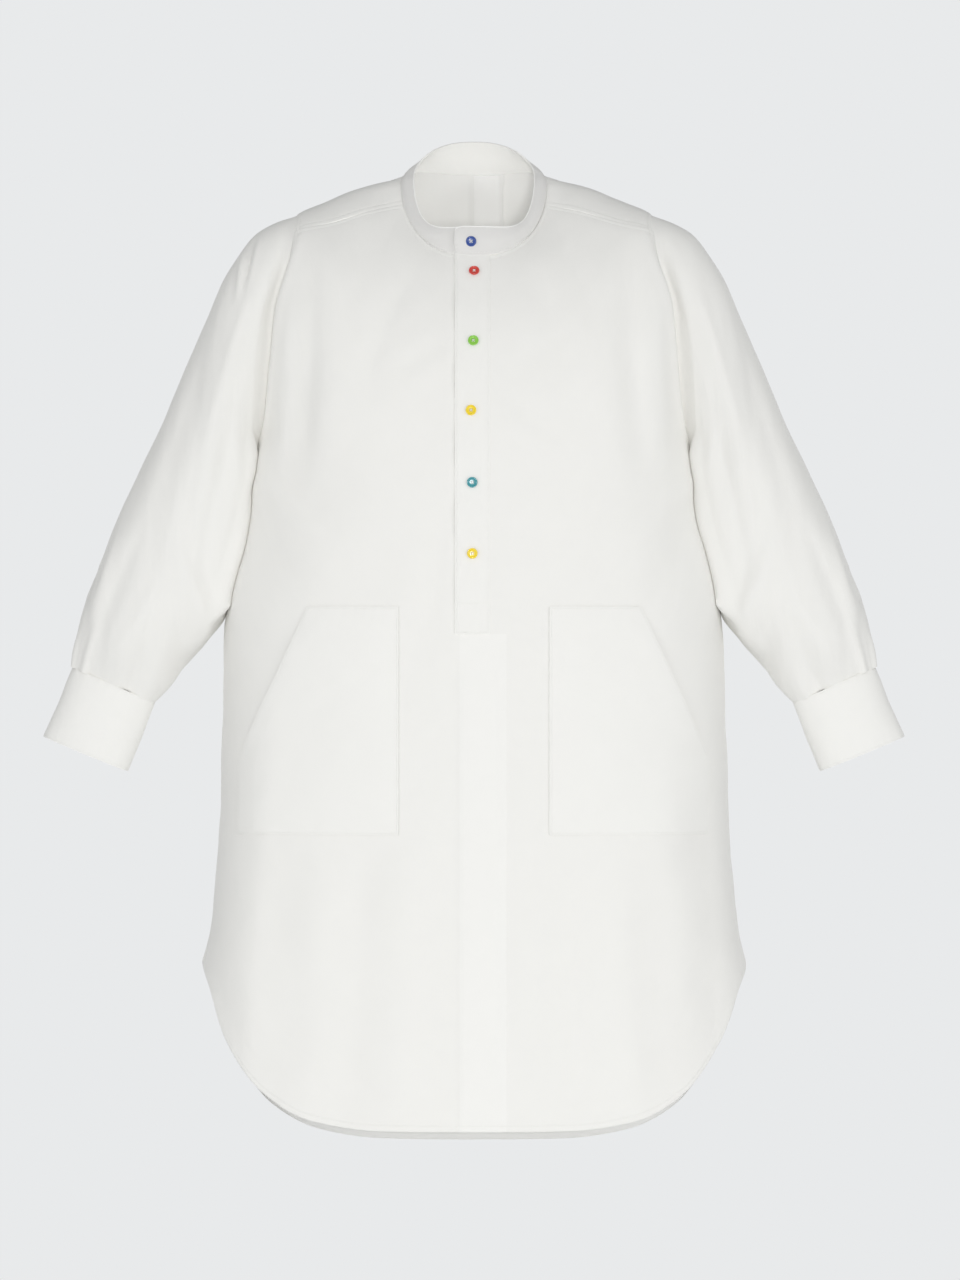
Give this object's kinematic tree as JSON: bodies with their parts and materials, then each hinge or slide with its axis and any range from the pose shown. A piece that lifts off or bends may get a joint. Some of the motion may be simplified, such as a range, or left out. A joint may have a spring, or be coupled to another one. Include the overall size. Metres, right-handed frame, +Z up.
{
  "type": "nightshirt",
  "caption": "Long pop-over cotton nightshirt with a band collar, half placket with small coloured buttons, two slanted patch pockets, cuffed sleeves and a shirt-tail hem.",
  "frame": {"origin": "midway between the two points where the shoulder ridges meet the collar, which is where the garment hangs on its wearer", "axes": "+Z up along the garment's length, the front facing -Y, the wearer's left at +X"},
  "size_m": [0.9008, 0.2562, 1.0609],
  "materials": {
    "white_cotton": "matt plain weave",
    "button_1_plastic": "glossy",
    "button_2_plastic": "glossy",
    "button_3_plastic": "glossy",
    "button_4_plastic": "glossy",
    "button_5_plastic": "glossy",
    "button_6_plastic": "glossy"
  },
  "bodies": {
    "root": {"front": "white_cotton", "back": "white_cotton", "sleeve_left": "white_cotton", "sleeve_right": "white_cotton", "cuff_left": "white_cotton", "cuff_right": "white_cotton", "collar": "white_cotton", "placket_over": "white_cotton", "placket_under": "white_cotton", "pocket_left": "white_cotton", "pocket_right": "white_cotton", "button_1": "button_1_plastic", "button_2": "button_2_plastic", "button_3": "button_3_plastic", "button_4": "button_4_plastic", "button_5": "button_5_plastic", "button_6": "button_6_plastic"}
  },
  "joints": []
}
